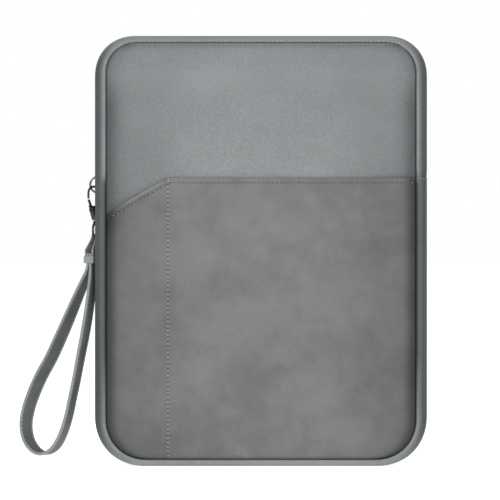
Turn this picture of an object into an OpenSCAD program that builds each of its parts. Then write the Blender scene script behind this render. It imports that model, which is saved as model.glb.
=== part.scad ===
// Padded tablet sleeve with a front pocket, a zipped flap and a wrist strap.
// It stands on its bottom edge: X is the width, -Y is the front, Z is up.
// The origin is on the ground, at the middle of the case.

/* [Case] */
// Width over the edge bands
case_w = 203; // [190:1:215]
// Height over the edge bands
case_h = 263; // [250:1:280]
// Depth over the front and back edge bands
case_d = 22; // [22:0.5:26]
// Corner radius at the top
corner_top = 25; // [20:1:32]
// Corner radius at the bottom
corner_bottom = 31; // [24:1:38]
// Height of the line that the flap folds along
fold_z = 178.6; // [178.6:0.1:180]

/* [Edge bands] */
// Width of the edge band along the sides, seen from the front
side_band = 7; // [6.8:0.1:8]
// Width of the edge band along the top and bottom
end_band = 4.3; // [4.2:0.1:5.5]
// Half width of the channel between the front and back bands
channel_half = 4.7; // [4.6:0.1:5]

/* [Padding] */
// Thickness of the woven outer fabric
fabric_t = 1; // [0.6:0.1:1.2]
// Thickness of the plush lining
lining_t = 1; // [0.6:0.1:1.2]
// Gap that the tablet slides into
tablet_gap = 6.8; // [6:0.1:7.5]

/* [Pocket] */
// Height of the pocket's straight top edge
pocket_top = 176; // [165:1:177]
// Height of the low end of the slanted mouth
slant_low = 154; // [140:1:160]
// Distance of the dividing seam from the middle
divider_x = 56.6; // [50:0.1:64]
// Thickness of the pocket leather
leather_t = 1.2; // [0.8:0.1:1.2]
// Distance from one stitch to the next
stitch_pitch = 2.7; // [2.4:0.1:3.2]

/* [Zip] */
// Lowest point of the zip, on the left side
zip_low = 163; // [160:0.5:164]
// Middle height of the closed slider
slider_z = 172.2; // [172:0.1:172.4]
// Length of the slider's plates
slider_l = 12; // [11:0.5:12.4]

/* [Strap] */
// Width of the strap
strap_w = 9; // [8:0.1:9.2]
// Thickness of the strap
strap_t = 1.8; // [1.6:0.1:1.8]

/* [Hidden] */

$fn = 48;
half_w = case_w / 2;
half_d = case_d / 2;
big = 400;
gap = 0.3;
corner_steps = 9;
squareness = 2.15;

front_y = -half_d + leather_t + 0.2;
back_y = half_d - 1;
lining_y = tablet_gap / 2;
panel_edge = 0.1;

// The zip and the gusset strip lie this far inside the outline.
zip_dx = 4.5;
zip_dz = 3;
tape_t = 0.8;
coil_t = 2.2;
coil_in = 0.6;
coil_out = 3;

// Colours
woven = [0.50, 0.53, 0.53];
band_tone = [0.42, 0.44, 0.44];
leather = [0.47, 0.47, 0.46];
plush = [0.30, 0.31, 0.32];
foam = [0.72, 0.72, 0.70];
thread = [0.34, 0.35, 0.35];
gunmetal = [0.38, 0.38, 0.39];
black_metal = [0.10, 0.10, 0.11];
strap_tone = [0.35, 0.37, 0.37];

// ---- Outlines in the plane of the case, as [x, z] ----

// One rounded corner: a quarter of a superellipse, slightly squarer than a circle.
function corner(cx, cz, r, start) = [
    for (i = [0 : corner_steps])
        let (a = start + 90 * i / corner_steps, c = cos(a), s = sin(a))
            [cx + r * sign(c) * pow(abs(c), 2 / squareness),
             cz + r * sign(s) * pow(abs(s), 2 / squareness)]];

// The case's outline, moved in by dx at the sides and by dz at the top and bottom.
function outline(dx, dz) =
    let (w = half_w - dx, high = case_h - dz,
         rt = corner_top - (dx + dz) / 2, rb = corner_bottom - (dx + dz) / 2)
        concat(corner(w - rb, dz + rb, rb, 270), corner(w - rt, high - rt, rt, 0),
               corner(rt - w, high - rt, rt, 90), corner(rb - w, dz + rb, rb, 180));

// A plate of the outline children() between two depths.
module plate(y0, y1) {
    translate([0, y1, 0]) rotate([90, 0, 0]) linear_extrude(y1 - y0) children();
}

module above(z) { intersection() { children(); translate([-big / 2, z]) square(big); } }

module below(z) { intersection() { children(); translate([-big / 2, z - big]) square(big); } }

module ring(dx0, dz0, dx1, dz1) {
    difference() {
        polygon(outline(dx0, dz0));
        polygon(outline(dx1, dz1));
    }
}

module panel() { polygon(outline(side_band + panel_edge, end_band + panel_edge)); }

// A band's rounded section, as steps: [depth from the face, inset of the outline].
band_steps = [[0, 2.6], [0.5, 1.5], [1.4, 0.6], [2.6, 0]];

// One half of an edge band; side is -1 for the front and 1 for the back.
module band(side, high) {
    deep = half_d - channel_half;
    for (i = [0 : len(band_steps) - 1]) {
        from = band_steps[i][0];
        to = i < len(band_steps) - 1 ? band_steps[i + 1][0] : deep;
        inset = band_steps[i][1];
        y0 = side < 0 ? from - half_d : half_d - to;
        plate(y0, y0 + to - from)
            if (high) above(fold_z) ring(inset, inset, side_band, end_band);
            else below(fold_z - gap) ring(inset, inset, side_band, end_band);
    }
}

// A strip that follows the zip's line, of thickness t, between two depths.
module zip_ring(t) { ring(zip_dx - t / 2, zip_dz - t / 2, zip_dx + t / 2, zip_dz + t / 2); }

module left_of_case() { intersection() { children(); translate([-big, 0]) square(big); } }

// The length of the zip on the back half: low on the left, up to the fold on the right.
module back_zip(t) {
    above(fold_z) zip_ring(t);
    left_of_case() below(fold_z + 1) above(zip_low) zip_ring(t);
}

// ---- Back panel ----

module back_fabric() {
    color(woven) plate(back_y - fabric_t, back_y) panel();
}

module back_foam() {
    color(foam) plate(lining_y + lining_t, back_y - fabric_t) panel();
}

module back_lining() {
    color(plush) plate(lining_y, lining_y + lining_t) panel();
}

// ---- Front panel below the fold ----

module front_fabric() {
    color(woven) plate(front_y, front_y + fabric_t) below(fold_z - gap) panel();
}

module front_foam() {
    color(foam) plate(front_y + fabric_t, -lining_y - lining_t) below(fold_z - gap) panel();
}

module front_lining() {
    color(plush) plate(-lining_y - lining_t, -lining_y) below(fold_z - gap) panel();
}

// ---- Front pocket ----

slant_x = half_w - side_band;

module pocket_shape() {
    intersection() {
        panel();
        polygon([[-big, -big], [big, -big], [big, pocket_top], [-divider_x, pocket_top],
                 [-slant_x, slant_low], [-big, slant_low - 8]]);
    }
}

module pocket_leather() {
    color(leather) plate(-half_d, -half_d + leather_t) pocket_shape();
}

stitch_l = 2;
stitch_w = 0.5;
stitch_proud = 0.25;
hem = 3;

// A straight row of separate stitches from p to q, on the pocket's face.
module stitch_row(p, q) {
    length = norm(q - p);
    count = floor(length / stitch_pitch);
    turn = atan2(q[1] - p[1], q[0] - p[0]);
    for (i = [0 : count - 1])
        translate([p[0], -half_d - stitch_proud / 2, p[1]]) rotate([0, -turn, 0])
            translate([(i + 0.5) * stitch_pitch - stitch_l / 2, -stitch_proud / 2, -stitch_w / 2])
                cube([stitch_l, stitch_proud, stitch_w]);
}

module pocket_stitching() {
    color(thread) {
        stitch_row([-divider_x + 1, pocket_top - hem], [slant_x - 1, pocket_top - hem]);
        stitch_row([-divider_x, end_band + 2], [-divider_x, pocket_top - 5]);
        stitch_row([-slant_x + 4, slant_low - 0.6], [-divider_x - 2, pocket_top - 4.2]);
    }
}

module pocket_bartack() {
    color(thread)
        for (i = [0 : 3])
            translate([-divider_x - 0.7, -half_d - 0.3, pocket_top - 1.2 - 0.7 * i])
                cube([1.4, 0.3, 0.4]);
}

// ---- Edge bands and gusset ----

module front_lower_band() { color(band_tone) band(-1, false); }

module back_lower_band() { color(band_tone) band(1, false); }

module back_upper_band() { color(band_tone) band(1, true); }

strip_half = channel_half - 0.1;

module gusset_strip() {
    color(band_tone) plate(-strip_half, strip_half) {
        below(zip_low - gap) zip_ring(tape_t);
        difference() {
            below(fold_z - gap) zip_ring(tape_t);
            left_of_case() square([big, big], center = true);
        }
    }
}

module gusset_lining() {
    color(plush) plate(-lining_y + 0.2, lining_y - 0.2)
        below(zip_low - 4) ring(zip_dx + 0.8, zip_dz + 1.4, zip_dx + 1.6, zip_dz + 2.2);
}

// ---- Zip ----

module back_tape() {
    color(thread) plate(coil_out, strip_half) back_zip(tape_t);
}

module back_coil() {
    color(plush) plate(coil_in, coil_out) back_zip(coil_t);
}

module front_tape_end() {
    color(thread) plate(-strip_half, -coil_out)
        left_of_case() below(fold_z - gap) above(zip_low) zip_ring(tape_t);
}

module front_coil_end() {
    color(plush) plate(-coil_out, -coil_in)
        left_of_case() below(fold_z - gap) above(zip_low) zip_ring(coil_t);
}

stop_h = 1.8;
stop_wall = 0.45;
stop_web = coil_in - 0.05;

// A metal stop clamped over the coils, from depth y0 to the back coil's far side.
module zip_stop(x, y0, z) {
    slot = coil_t + 0.1;
    difference() {
        translate([x - slot / 2 - stop_wall, y0, z])
            cube([slot + 2 * stop_wall, coil_out - y0, stop_h]);
        for (y = [stop_web, -stop_web - big])
            translate([x - slot / 2, y, z - 1]) cube([slot, big, stop_h + 2]);
    }
}

// One stop joins both coils below the slider, and one ends the back coil at the far side.
module zip_stops() {
    color(gunmetal) {
        zip_stop(-half_w + zip_dx, -coil_out, zip_low + 0.2);
        zip_stop(half_w - zip_dx, 0.1, fold_z + 1);
    }
}

// ---- Flap: the front above the fold ----

module flap_fabric() {
    color(woven) plate(front_y, front_y + fabric_t) above(fold_z) panel();
}

module flap_foam() {
    color(foam) plate(front_y + fabric_t, -lining_y - lining_t) above(fold_z) panel();
}

module flap_lining() {
    color(plush) plate(-lining_y - lining_t, -lining_y) above(fold_z) panel();
}

module flap_band() { color(band_tone) band(-1, true); }

module flap_tape() {
    color(thread) plate(-strip_half, -coil_out) above(fold_z) zip_ring(tape_t);
}

module flap_coil() {
    color(plush) plate(-coil_out, -coil_in) above(fold_z) zip_ring(coil_t);
}

// ---- Slider ----

zip_x = -(half_w - zip_dx);
plate_t = 1;
top_x = zip_x - coil_t / 2 - 0.2 - plate_t;
bottom_x = zip_x + coil_t / 2 + 0.2;
flange_y = coil_out + 0.25;
flange_t = 1;
tape_slot = tape_t + 0.8;
post_half = 0.4;

// A plate of the slider in Y and Z: straight sides and corners cut at both ends.
module slider_plate(x) {
    wide = flange_y + flange_t;
    cut = 1.4;
    end = slider_l / 2;
    translate([x, 0, slider_z]) rotate([90, 0, 90]) linear_extrude(plate_t)
        polygon([[-wide + cut, -end], [wide - cut, -end], [wide, -end + cut], [wide, end - 3],
                 [wide - cut, end], [cut - wide, end], [-wide, end - 3], [-wide, -end + cut]]);
}

module slider_body() {
    flange_h = (bottom_x - top_x - plate_t - tape_slot) / 2;
    color(gunmetal) {
        slider_plate(top_x);
        slider_plate(bottom_x);
        for (side = [-1, 1], x = [top_x + plate_t, bottom_x - flange_h])
            translate([x, side > 0 ? flange_y : -flange_y - flange_t, slider_z - slider_l / 2 + 1.6])
                cube([flange_h, flange_t, slider_l - 4.8]);
        translate([top_x + plate_t - 0.1, -post_half, slider_z - slider_l / 2 + 0.4])
            cube([bottom_x - top_x - plate_t + 0.2, 2 * post_half, 3]);
    }
}

bridge_half = 0.55;

// Half an ellipse from the plate outwards, as [x, z].
function bow(out, high) = [
    for (i = [0 : 16]) let (a = 90 + 180 * i / 16) [top_x + out * cos(a), slider_z + high * sin(a)]];

module slider_bridge() {
    out = 6.2;
    high = 5.8;
    bar = 1.3;
    color(gunmetal) plate(-bridge_half, bridge_half) difference() {
        polygon(bow(out, high));
        polygon(bow(out - bar, high - bar));
    }
}

// ---- Clasp, turned about the vertical line that it hangs on ----

hang_x = -101.6;
hook_z = 171;
clasp_turn = 50;
eye_turn = 70;
hook_r = 4.2;
wire_r = 0.65;
hook_u = -2;
tip_v = -7.4;
body_top = -12;
body_low = -20.6;
body_half = 1.5;
pin_u = -2.7;
pin_v = -13.4;
pin_r = 0.55;

// Moves from the clasp's own plane (u across, v up, n through) into the case's frame.
module on_clasp() { translate([hang_x, 0, hook_z]) rotate([0, 0, clasp_turn]) children(); }

// A rod of radius r in the clasp's plane, from one [u, v] to another.
module rod(p, q, r) {
    turn = atan2(q[0] - p[0], q[1] - p[1]);
    translate([p[0], 0, p[1]]) rotate([0, turn, 0]) cylinder(h = norm(q - p), r = r);
}

// A pin through the clasp's plane.
module cross_pin(u, v, half, r) {
    translate([u, half, v]) rotate([90, 0, 0]) cylinder(h = 2 * half, r = r);
}

module clasp_hook() {
    right_u = hook_u + hook_r;
    left_u = hook_u - hook_r;
    color(black_metal) on_clasp() difference() {
        union() {
            translate([hook_u, 0, -hook_r]) rotate([90, 0, 0])
                rotate_extrude(angle = 180) translate([hook_r, 0]) circle(r = wire_r);
            rod([right_u, -hook_r], [right_u, body_top - 0.5], wire_r);
            rod([left_u, -hook_r], [left_u, tip_v], wire_r);
            plate(-body_half, body_half)
                polygon([[-4.1, -13.2], [-3.2, body_top], [2.2, body_top + 0.6], [2.2, -14],
                         [1.9, body_low + 1], [1.5, body_low], [-1.5, body_low],
                         [-1.9, body_low + 1], [-4.1, -14.4]]);
        }
        // Slot and bore for the gate
        plate(-0.8, 0.8) polygon([[-5, -15.2], [-1.3, -15.2], [-1.3, -11], [-5, -11]]);
        cross_pin(pin_u, pin_v, 2, pin_r);
        // Socket for the swivel's post
        translate([0, 0, body_low - 1]) cylinder(h = 4.6, r = 0.8);
        translate([0, 0, body_low + 1.4]) cylinder(h = 2.2, r = 1.25);
    }
}

module clasp_pin() {
    color(gunmetal) on_clasp() cross_pin(pin_u, pin_v, body_half, pin_r);
}

module clasp_spring() {
    color(gunmetal) on_clasp()
        for (n = [0.65, -0.65])
            translate([pin_u, n, pin_v]) rotate([90, 0, 0])
                rotate_extrude() translate([pin_r + 0.25, 0]) circle(r = 0.1, $fn = 16);
}

module clasp_gate() {
    hub_r = 1.1;
    half = 0.5;
    tip = [hook_u - hook_r + 0.2, tip_v - 0.4];
    color(black_metal) on_clasp() difference() {
        union() {
            cross_pin(pin_u, pin_v, half, hub_r);
            plate(-half, half)
                polygon([[-3.75, -13.2], [-5.7, -12.6], [-5.9, -12], [-5.1, -11.6],
                         tip - [0.6, 0.45], tip + [0.5, 0], [-3.2, -12], [-2.2, -12.5]]);
        }
        cross_pin(pin_u, pin_v, 1, pin_r + 0.04);
    }
}

// ---- Swivel eye ----

eye_top = -22.2;
eye_low = -30.6;
eye_r = 3.7;
eye_wire = 0.75;

module swivel_eye() {
    color(gunmetal) translate([hang_x, 0, hook_z]) rotate([0, 0, eye_turn]) {
        // Post with a head inside the clasp's body, and a collar below it
        translate([0, 0, body_low + 1.6]) cylinder(h = 1.8, r = 1.15);
        translate([0, 0, eye_top]) cylinder(h = body_low - eye_top + 2, r = 0.74);
        translate([0, 0, eye_top - 0.4]) cylinder(h = 1.6, r = 1.5);
        translate([0, 0, eye_top - eye_r]) rotate([90, 0, 0])
            rotate_extrude(angle = 180) translate([eye_r, 0]) circle(r = eye_wire);
        for (u = [-eye_r, eye_r]) rod([u, eye_top - eye_r], [u, eye_low], eye_wire);
        rod([-eye_r, eye_low], [eye_r, eye_low], eye_wire);
    }
}

// ---- Strap ----

tab_t = 0.8;
tab_clear = 0.15;
tab_straight = 6;
keeper_z = 126.2;
keeper_h = 4.4;
strap_x = -103.95;
bar_z = hook_z + eye_low;

// The tab's outer face, from the middle of the strap's two legs
tab_face = strap_t + tab_t + tab_clear;

// Moves into the strap's top end: u across the strap, n through it, z up.
module on_strap() { translate([strap_x, 0, 0]) rotate([0, 0, eye_turn]) children(); }

// The tab's two plies run from the keeper up to the eye and lean in towards its bar.
lean = [(hang_x - strap_x) * cos(eye_turn), -(hang_x - strap_x) * sin(eye_turn)];

// Cross-section of the tab, as [n, z]: a strip folded round the eye's bar.
module tab_section() {
    inner = eye_wire + 0.1;
    low = keeper_z - keeper_h / 2 + 0.4;
    straight = keeper_z + tab_straight;
    n_top = lean[1];
    difference() {
        union() {
            polygon([[tab_face, low], [tab_face, straight], [n_top + inner + tab_t, bar_z],
                     [n_top - inner - tab_t, bar_z], [-tab_face, straight], [-tab_face, low]]);
            translate([n_top, bar_z]) circle(r = inner + tab_t);
        }
        polygon([[tab_face - tab_t, low - 1], [tab_face - tab_t, straight],
                 [n_top + inner, bar_z], [n_top - inner, bar_z],
                 [tab_t - tab_face, straight], [tab_t - tab_face, low - 1]]);
        translate([n_top, bar_z]) circle(r = inner);
    }
}

// The folded tab: full width at the keeper, narrow where it passes through the eye.
module strap_tab() {
    narrow = 2.75;
    color(strap_tone) on_strap() intersection() {
        rotate([90, 0, 90]) translate([0, 0, -strap_w / 2]) linear_extrude(strap_w) tab_section();
        plate(-big / 4, big / 4)
            polygon([[-strap_w / 2, 110], [strap_w / 2, 110],
                     [strap_w / 2, keeper_z + tab_straight],
                     [lean[0] + narrow, bar_z - 2], [lean[0] + narrow, bar_z + 3],
                     [lean[0] - narrow, bar_z + 3], [lean[0] - narrow, bar_z - 2],
                     [-strap_w / 2, keeper_z + tab_straight]]);
    }
}

module strap_keeper() {
    wide = strap_w / 2 + 0.1;
    deep = tab_face + 0.05;
    wall = 0.4;
    color(strap_tone) on_strap() translate([0, 0, keeper_z - keeper_h / 2]) difference() {
        translate([-wide - wall, -deep - wall, 0])
            cube([2 * (wide + wall), 2 * (deep + wall), keeper_h]);
        translate([-wide, -deep, -1]) cube([2 * wide, 2 * deep, keeper_h + 2]);
    }
}

// Two rows of two stitches on each face of the tab, above the keeper.
module strap_stitching() {
    high = 1.3;
    color(thread) on_strap()
        for (side = [-1, 1], u = [-3.6, 3.6], i = [0 : 1])
            translate([u - 0.2, side > 0 ? tab_face : -tab_face - 0.2,
                       keeper_z + keeper_h / 2 + 0.4 + i * (high + 0.4)])
                cube([0.4, 0.2, high]);
}

// The strap's middle line, from the keeper down one leg and up the other, with the turn
// of its width about the vertical at each point: [x, y, z, turn].
route = [
    [-104.85, 0.35, 130, 70], [-104.85, 0.35, 124, 69], [-105.6, 1.3, 119.5, 65],
    [-107.8, 3.1, 114.5, 59], [-112.5, 5.6, 104, 49], [-118.6, 8, 90, 38],
    [-124.4, 9.6, 77, 32], [-130, 10.6, 65, 30], [-136, 10.8, 54, 30],
    [-140.8, 10.4, 43, 32], [-144, 9.6, 33, 35], [-145.2, 8.4, 24, 38],
    [-143.6, 6.6, 15.5, 42], [-139.4, 4.2, 9.4, 46], [-134, 1, 7, 50],
    [-128.6, -2.4, 8.8, 54], [-124.2, -5.4, 13.4, 57], [-120.4, -7.8, 21, 60],
    [-117.2, -9.6, 31, 62], [-115, -10.4, 41, 63], [-113, -10.4, 50.4, 63],
    [-111.2, -9.8, 60, 63], [-109.4, -8.6, 70, 62], [-107.6, -7, 80, 61],
    [-106, -5.2, 90, 61], [-104.7, -3.6, 100, 62], [-103.8, -2.3, 109, 65],
    [-103.2, -1.2, 117, 68], [-103.05, -0.35, 124, 69], [-103.05, -0.35, 130, 70]];

function point(i) = [route[i][0], route[i][1], route[i][2]];

function unit(v) = v / norm(v);

function along(i) =
    unit(point(min(i + 1, len(route) - 1)) - point(max(i - 1, 0)));

// The width's direction, made square to the strap's run.
function across(i) =
    let (w = [cos(route[i][3]), sin(route[i][3]), 0], t = along(i)) unit(w - (w * t) * t);

// The strap's section: a flat strip with its eight corners cut.
function section() =
    let (w = strap_w / 2, t = strap_t / 2, c = 0.4)
        [[w, t - c], [w - c, t], [c - w, t], [-w, t - c],
         [-w, c - t], [c - w, -t], [w - c, -t], [w, c - t]];

module strap_loop() {
    s = section();
    n = len(s);
    rings = len(route);
    points = [for (i = [0 : rings - 1]) let (w = across(i), d = cross(along(i), w))
        for (p = s) point(i) + p[0] * w + p[1] * d];
    sides = [for (i = [0 : rings - 2], j = [0 : n - 1], half = [0, 1])
        let (a = i * n + j, b = i * n + (j + 1) % n)
            half == 0 ? [a, b, b + n] : [a, b + n, a + n]];
    first = [for (j = [1 : n - 2]) [0, j + 1, j]];
    last = [for (j = [1 : n - 2]) [(rings - 1) * n, (rings - 1) * n + j, (rings - 1) * n + j + 1]];
    color(strap_tone) polyhedron(points, concat(first, sides, last), convexity = 8);
}

back_fabric();
back_foam();
back_lining();
front_fabric();
front_foam();
front_lining();
pocket_leather();
pocket_stitching();
pocket_bartack();
front_lower_band();
back_lower_band();
back_upper_band();
gusset_strip();
gusset_lining();
back_tape();
back_coil();
front_tape_end();
front_coil_end();
zip_stops();
flap_fabric();
flap_foam();
flap_lining();
flap_band();
flap_tape();
flap_coil();
slider_body();
slider_bridge();
clasp_hook();
clasp_pin();
clasp_spring();
clasp_gate();
swivel_eye();
strap_tab();
strap_keeper();
strap_stitching();
strap_loop();
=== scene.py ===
import math

import bpy
import numpy as np
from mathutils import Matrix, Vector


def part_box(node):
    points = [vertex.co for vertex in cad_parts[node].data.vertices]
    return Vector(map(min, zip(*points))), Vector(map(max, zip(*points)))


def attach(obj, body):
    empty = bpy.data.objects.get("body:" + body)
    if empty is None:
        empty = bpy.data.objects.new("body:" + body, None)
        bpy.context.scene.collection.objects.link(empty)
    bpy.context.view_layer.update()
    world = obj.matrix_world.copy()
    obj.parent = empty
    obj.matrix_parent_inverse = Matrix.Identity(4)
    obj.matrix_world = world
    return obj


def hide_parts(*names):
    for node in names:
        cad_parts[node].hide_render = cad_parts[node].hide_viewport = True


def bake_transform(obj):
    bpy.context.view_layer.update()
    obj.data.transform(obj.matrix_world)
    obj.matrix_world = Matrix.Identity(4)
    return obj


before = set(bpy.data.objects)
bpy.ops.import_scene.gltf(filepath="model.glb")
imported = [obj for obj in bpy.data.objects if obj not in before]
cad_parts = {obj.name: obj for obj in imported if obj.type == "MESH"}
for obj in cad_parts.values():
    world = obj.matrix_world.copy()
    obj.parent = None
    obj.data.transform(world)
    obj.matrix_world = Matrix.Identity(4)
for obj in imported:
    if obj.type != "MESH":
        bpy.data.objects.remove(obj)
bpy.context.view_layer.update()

# ---------------------------------------------------------------------------------------
# Camera: level with the middle of the case and square to its front, slightly left of
# centre so that the hanging strap is in the picture with the case.
scene = bpy.context.scene
case_low, case_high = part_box("front_lower_band")
case_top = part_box("flap_band")[1].z
half_width = case_high.x
depth_half = -case_low.y

picture_width = 0.3057
camera_back = 1.25
plane_ahead = 0.006  # the picture width is measured this far in front of the middle
sensor_width = 36
picture_centre = (-0.0067, 0.1321)
camera = bpy.data.objects.new("camera", bpy.data.cameras.new("camera"))
scene.collection.objects.link(camera)
camera.location = (picture_centre[0], -camera_back, picture_centre[1])
camera.rotation_euler = (math.radians(90), 0, 0)
camera.data.sensor_width = sensor_width
camera.data.lens = sensor_width * (camera_back - plane_ahead) / picture_width
camera.data.clip_end = 20
scene.camera = camera


# ---------------------------------------------------------------------------------------
# Wrist strap: a flat band of synthetic leather, two plies glued and edge-stitched. Both
# ends go into the folded tab, so it hangs as a long loop that leans away from the case.
def smooth_run(route, steps):
    """Points between the given rows, on cubic curves whose slope at each row is half the
    step from the row before to the row after."""
    rows = np.asarray(route, float)
    before = np.vstack([2 * rows[:1] - rows[1:2], rows])
    after = np.vstack([rows, 2 * rows[-1:] - rows[-2:-1]])
    slope = (np.vstack([after[1:], after[-1:]])[:len(rows)] - before[:len(rows)]) / 2
    t = np.linspace(0, 1, steps, endpoint=False)[None, :, None]
    a, b, m, n = rows[:-1, None], rows[1:, None], slope[:-1, None], slope[1:, None]
    run = ((2 * t**3 - 3 * t**2 + 1) * a + (t**3 - 2 * t**2 + t) * m
           + (3 * t**2 - 2 * t**3) * b + (t**3 - t**2) * n)
    return np.vstack([run.reshape(-1, rows.shape[1]), rows[-1:]])


def unit(v):
    return v / np.linalg.norm(v, axis=-1, keepdims=True)


def skin(name, grid, wrap_rows=False, wrap_columns=False, caps=(), extra=()):
    """A mesh of quads between the neighbours of a grid of points (rows, columns, 3). A cap
    is a face of many corners over a whole row. Faces are turned to point outwards. Extra
    faces name their points by place in the flat list."""
    rows, columns = grid.shape[:2]
    i = np.arange(rows if wrap_rows else rows - 1)
    j = np.arange(columns if wrap_columns else columns - 1)
    i, j = np.meshgrid(i, j, indexing="ij")
    down, right = (i + 1) % rows, (j + 1) % columns
    quads = np.stack([i * columns + j, i * columns + right,
                      down * columns + right, down * columns + j], -1).reshape(-1, 4)
    faces = quads.tolist() + [list(face) for face in extra]
    for row in caps:
        loop = (np.arange(columns) + row % rows * columns).tolist()
        faces.append(loop[::-1] if row == 0 else loop)
    return solid(name, grid.reshape(-1, 3), faces)


def solid(name, points, faces):
    """An object from points and faces, smooth shaded, with its faces turned outwards."""
    mesh = bpy.data.meshes.new(name)
    mesh.from_pydata(np.asarray(points).tolist(), [], faces)
    corners = np.empty(len(mesh.loops), int)
    mesh.loops.foreach_get("vertex_index", corners)
    start = np.array([p.loop_start for p in mesh.polygons])
    size = np.array([p.loop_total for p in mesh.polygons])
    at = np.asarray(points, float)
    volume = 0
    for k in range(1, size.max() - 1):
        s = start[size > k + 1]
        a, b, c = at[corners[s]], at[corners[s + k]], at[corners[s + k + 1]]
        volume += np.einsum("ij,ij->i", a, np.cross(b, c)).sum()
    if volume < 0:
        mesh.flip_normals()
    mesh.shade_smooth()
    piece = bpy.data.objects.new(name, mesh)
    scene.collection.objects.link(piece)
    return piece


def paint(piece, name, values):
    """Stores one number for each point of the piece, for its material to read."""
    spot = piece.data.attributes.new(name, "FLOAT", "POINT")
    spot.data.foreach_set("value", np.asarray(values, np.float32).ravel())


class Value:
    """A shader value. Sums, products and the like of values add Math nodes."""

    def __init__(self, socket):
        self.socket = socket
        self.tree = socket.id_data

    def node(self, kind, settings=None, **inputs):
        """Adds a node of any kind: its settings first, then its sockets by name, where
        _ stands for a space, or by number after an n. Gives its first output."""
        made = self.tree.nodes.new("ShaderNode" + kind)
        for key, setting in (settings or {}).items():
            setattr(made, key, setting)
        for key, given in inputs.items():
            numbered = key[0] == "n" and key[1:].isdigit()
            target = made.inputs[int(key[1:]) if numbered else key.replace("_", " ")]
            if isinstance(given, Value):
                self.tree.links.new(given.socket, target)
            else:
                target.default_value = given
        outputs = [out for out in made.outputs if out.enabled]
        return Value(outputs[0])

    def out(self, name):
        return Value(self.socket.node.outputs[name])

    def math(self, operation, *others):
        numbers = {f"n{k}": v for k, v in enumerate((self, *others))}
        return self.node("Math", {"operation": operation}, **numbers)

    def __add__(self, other):
        return self.math("ADD", other)

    def __mul__(self, other):
        return self.math("MULTIPLY", other)

    def __sub__(self, other):
        return self.math("SUBTRACT", other)

    def __rsub__(self, other):
        return (self * -1).math("ADD", other)

    __radd__ = __add__
    __rmul__ = __mul__

    def step(self, low, high):
        """0 below low and 1 above high, with an eased change between them."""
        return self.node("MapRange", {"interpolation_type": "SMOOTHSTEP"}, Value=self,
                         From_Min=low, From_Max=high)

    def between(self, first, second):
        """This share of the second colour over the first."""
        return self.node("Mix", {"data_type": "RGBA"}, n0=self, n6=first, n7=second)


def finish(name, **shader):
    """A material with its constants set on the shader. Gives the material, the value to
    build on, which is the piece's own coordinates in metres, and the shader's sockets."""
    made = bpy.data.materials.new(name)
    made.use_nodes = True
    principled = made.node_tree.nodes["Principled BSDF"]
    for key, number in shader.items():
        principled.inputs[key.replace("_", " ")].default_value = number
    place = made.node_tree.nodes.new("ShaderNodeTexCoord")
    return made, Value(place.outputs["Object"]), principled.inputs


def feed(value, socket):
    value.tree.links.new(value.socket, socket)


def dress(piece, material, slot, nodes=(), body=None):
    """Gives a piece its material, the nodes it stands for and its body. The slot is not used.
    """
    piece.data.materials.append(material)
    if nodes:
        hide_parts(*nodes)
    if body:
        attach(piece, body)


def strap_finish():
    """Smooth grained leather, paler and matter where its cut edges are worn. The same edge
    attribute also carries painted light that makes the tab and keeper paler all over.
    """
    made, place, sockets = finish("strap_leather", Roughness=0.5, Specular_IOR_Level=0.35)
    cloud = place.node("TexNoise", Vector=place, Scale=60, Detail=3)
    grain = place.node("TexVoronoi", Vector=place, Scale=1900)
    speck = place.node("TexNoise", Vector=place, Scale=2600, Detail=2)
    edge = place.node("Attribute", {"attribute_name": "edge"}).out("Fac")
    # worn: wear along the strap's cut edges, and painted light all over the tab and keeper.
    worn = (edge + cloud * 0.3 - 0.15).step(0.35, 0.9)
    face = cloud.step(0.3, 0.7).between((0.078, 0.087, 0.088, 1), (0.104, 0.115, 0.116, 1))
    pale = speck.step(0.3, 0.7).between((0.22, 0.235, 0.233, 1), (0.3, 0.318, 0.315, 1))
    feed(worn.between(face, pale), sockets["Base Color"])
    feed(0.46 + speck * 0.12 + worn * 0.2, sockets["Roughness"])
    feed(place.node("Bump", Strength=0.35, Distance=0.0002,
                    Height=grain * 0.7 + speck * 0.3), sockets["Normal"])
    return made


strap_width = 0.009
strap_thick = 0.0018
stitch_aside = 0.0033  # from the strap's middle to its rows of edge stitches
worn_edge = 0.0012     # how far from a cut edge the wear begins
# Rows of (x, y, z, turn): the middle line, and the angle of the width from the front.
strap_route = [
    (-0.10485, 0.00035, 0.13, 70), (-0.10485, 0.00035, 0.124, 69),
    (-0.1056, 0.0013, 0.1195, 65), (-0.1078, 0.0031, 0.1145, 59),
    (-0.1125, 0.0056, 0.104, 49), (-0.1186, 0.008, 0.09, 38),
    (-0.1244, 0.0096, 0.077, 32), (-0.13, 0.0106, 0.065, 30),
    (-0.136, 0.0108, 0.054, 30), (-0.1408, 0.0104, 0.043, 32),
    (-0.144, 0.0096, 0.033, 35), (-0.1452, 0.0084, 0.024, 38),
    (-0.1436, 0.0066, 0.0155, 42), (-0.1394, 0.0042, 0.0094, 46),
    (-0.134, 0.001, 0.007, 50), (-0.1286, -0.0024, 0.0088, 54),
    (-0.1242, -0.0054, 0.0134, 57), (-0.1204, -0.0078, 0.021, 60),
    (-0.1172, -0.0096, 0.031, 62), (-0.115, -0.0104, 0.041, 63),
    (-0.113, -0.0104, 0.0504, 63), (-0.1112, -0.0098, 0.06, 63),
    (-0.1094, -0.0086, 0.07, 62), (-0.1076, -0.007, 0.08, 61),
    (-0.106, -0.0052, 0.09, 61), (-0.1047, -0.0036, 0.1, 62),
    (-0.1038, -0.0023, 0.109, 65), (-0.1032, -0.0012, 0.117, 68),
    (-0.10305, -0.00035, 0.124, 69), (-0.10305, -0.00035, 0.13, 70)]
strap_run = smooth_run(strap_route, 10)
strap_line = strap_run[:, :3]
strap_along = unit(np.gradient(strap_line, axis=0))
strap_turn = np.radians(strap_run[:, 3])
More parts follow.
